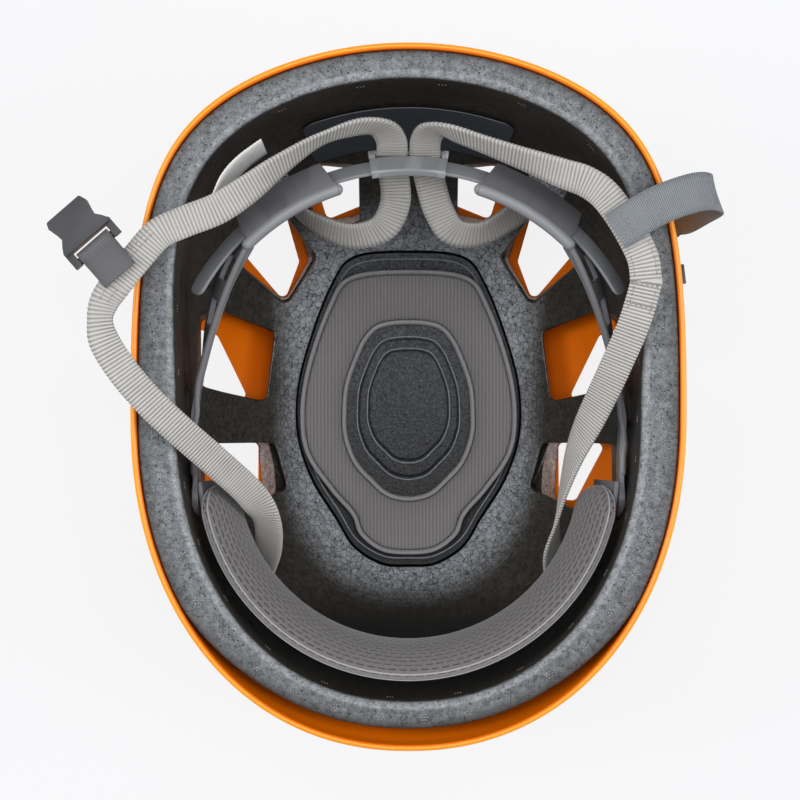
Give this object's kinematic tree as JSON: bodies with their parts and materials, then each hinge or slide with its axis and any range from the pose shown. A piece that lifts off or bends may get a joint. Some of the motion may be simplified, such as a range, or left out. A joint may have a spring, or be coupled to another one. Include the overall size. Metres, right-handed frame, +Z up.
{
  "type": "arborist helmet",
  "caption": "Vented hard-shell climbing helmet standing on its crown, with bead-foam liner, comfort pads, sliding nape cradle and Y-straps with a side-release buckle.",
  "frame": {"origin": "middle of the small flat under the crown, on the ground", "axes": "+Z up, towards the opening, as the helmet stands on its crown; +Y to the nape, -Y to the brow; +X to the right as seen looking into the opening with the brow nearest"},
  "size_m": [0.2649, 0.2827, 0.1732],
  "materials": {
    "orange_shell": "smooth moulded, glossy",
    "grey_foam": "moulded bead foam",
    "dark_foam": "fine bead foam",
    "knit_pad": "ribbed knit over foam",
    "mesh_pad": "perforated mesh over foam",
    "hook_tape": "hook tape",
    "grey_plastic": "satin moulded",
    "light_plastic": "satin moulded",
    "anchor_plastic": "satin moulded",
    "grey_webbing": "woven ribbed webbing",
    "dark_webbing": "woven ribbed webbing",
    "buckle_plastic": "satin moulded",
    "clip_plastic": "satin moulded",
    "label_film": "bare film label",
    "tag_cloth": "bare woven tag"
  },
  "bodies": {
    "helmet": {"outer_shell": "orange_shell", "foam_liner": "grey_foam", "crown_insert": "dark_foam", "crown_pad": "knit_pad", "forehead_pad": "mesh_pad", "crown_pad_hooks": "hook_tape", "forehead_hook_strip": "hook_tape", "front_band": "grey_plastic", "pivot_pin_left": "grey_plastic", "pivot_pin_right": "grey_plastic", "anchor_front_left": "anchor_plastic", "anchor_front_right": "anchor_plastic", "anchor_rear_left": "anchor_plastic", "anchor_rear_right": "anchor_plastic", "strap_front_left": "grey_webbing", "strap_front_right": "grey_webbing", "strap_rear_left": "grey_webbing", "strap_rear_right": "grey_webbing", "strap_nape_left": "grey_webbing", "strap_nape_right": "grey_webbing", "chin_strap_right": "grey_webbing", "chin_loop_left": "dark_webbing", "lamp_clip_front_left": "clip_plastic", "lamp_clip_front_right": "clip_plastic", "lamp_clip_rear_left": "clip_plastic", "lamp_clip_rear_right": "clip_plastic", "rear_label": "label_film", "strap_tag": "tag_cloth"},
    "cradle": {"arm_left": "grey_plastic", "arm_right": "grey_plastic", "nape_band": "light_plastic", "nape_guide": "light_plastic"},
    "left_slider": {"slider_left": "grey_plastic"},
    "right_slider": {"slider_right": "grey_plastic"},
    "socket": {"socket_buckle": "buckle_plastic"},
    "tongue": {"tongue_buckle": "buckle_plastic"},
    "front_prong": {"tongue_prong_front": "buckle_plastic"},
    "rear_prong": {"tongue_prong_rear": "buckle_plastic"},
    "keeper": {"strap_keeper": "buckle_plastic"}
  },
  "joints": [
    {"name": "cradle_tilt", "type": "hinge", "parent": "helmet", "child": "cradle", "pos_m": [0, -0.032, 0.112], "axis": [1, 0, 0], "range_deg": [-9, 15], "deforming": ["strap_rear_left", "strap_rear_right", "strap_nape_left", "strap_nape_right"]},
    {"name": "left_slider_move", "type": "hinge", "parent": "cradle", "child": "left_slider", "pos_m": [0, 0.005, 0.131], "axis": [0, 0, 1], "range_deg": [-4, 13], "deforming": ["arm_left"]},
    {"name": "right_slider_move", "type": "hinge", "parent": "cradle", "child": "right_slider", "pos_m": [0, 0.005, 0.131], "axis": [0, 0, 1], "range_deg": [-13, 4], "deforming": ["arm_right"]},
    {"name": "socket_swing", "type": "hinge", "parent": "helmet", "child": "socket", "pos_m": [-0.1217, 0.0672, 0.169], "axis": [-0.7547, -0.6561, 0], "range_deg": [-40, 70]},
    {"name": "chin_adjust", "type": "slide", "parent": "helmet", "child": "tongue", "axis": [0, 0, 1], "range_m": [-0.01, 0.008], "deforming": ["chin_strap_right"]},
    {"name": "front_prong_press", "type": "hinge", "parent": "tongue", "child": "front_prong", "pos_m": [0.11114, 0.08023, 0.056], "axis": [0.788, 0.6157, 0], "range_deg": [0, 6]},
    {"name": "rear_prong_press", "type": "hinge", "parent": "tongue", "child": "rear_prong", "pos_m": [0.10474, 0.08843, 0.056], "axis": [0.788, 0.6157, 0], "range_deg": [-6, 0]},
    {"name": "keeper_slide", "type": "slide", "parent": "helmet", "child": "keeper", "axis": [0, 0, 1], "range_m": [-0.004, 0.006]}
  ]
}
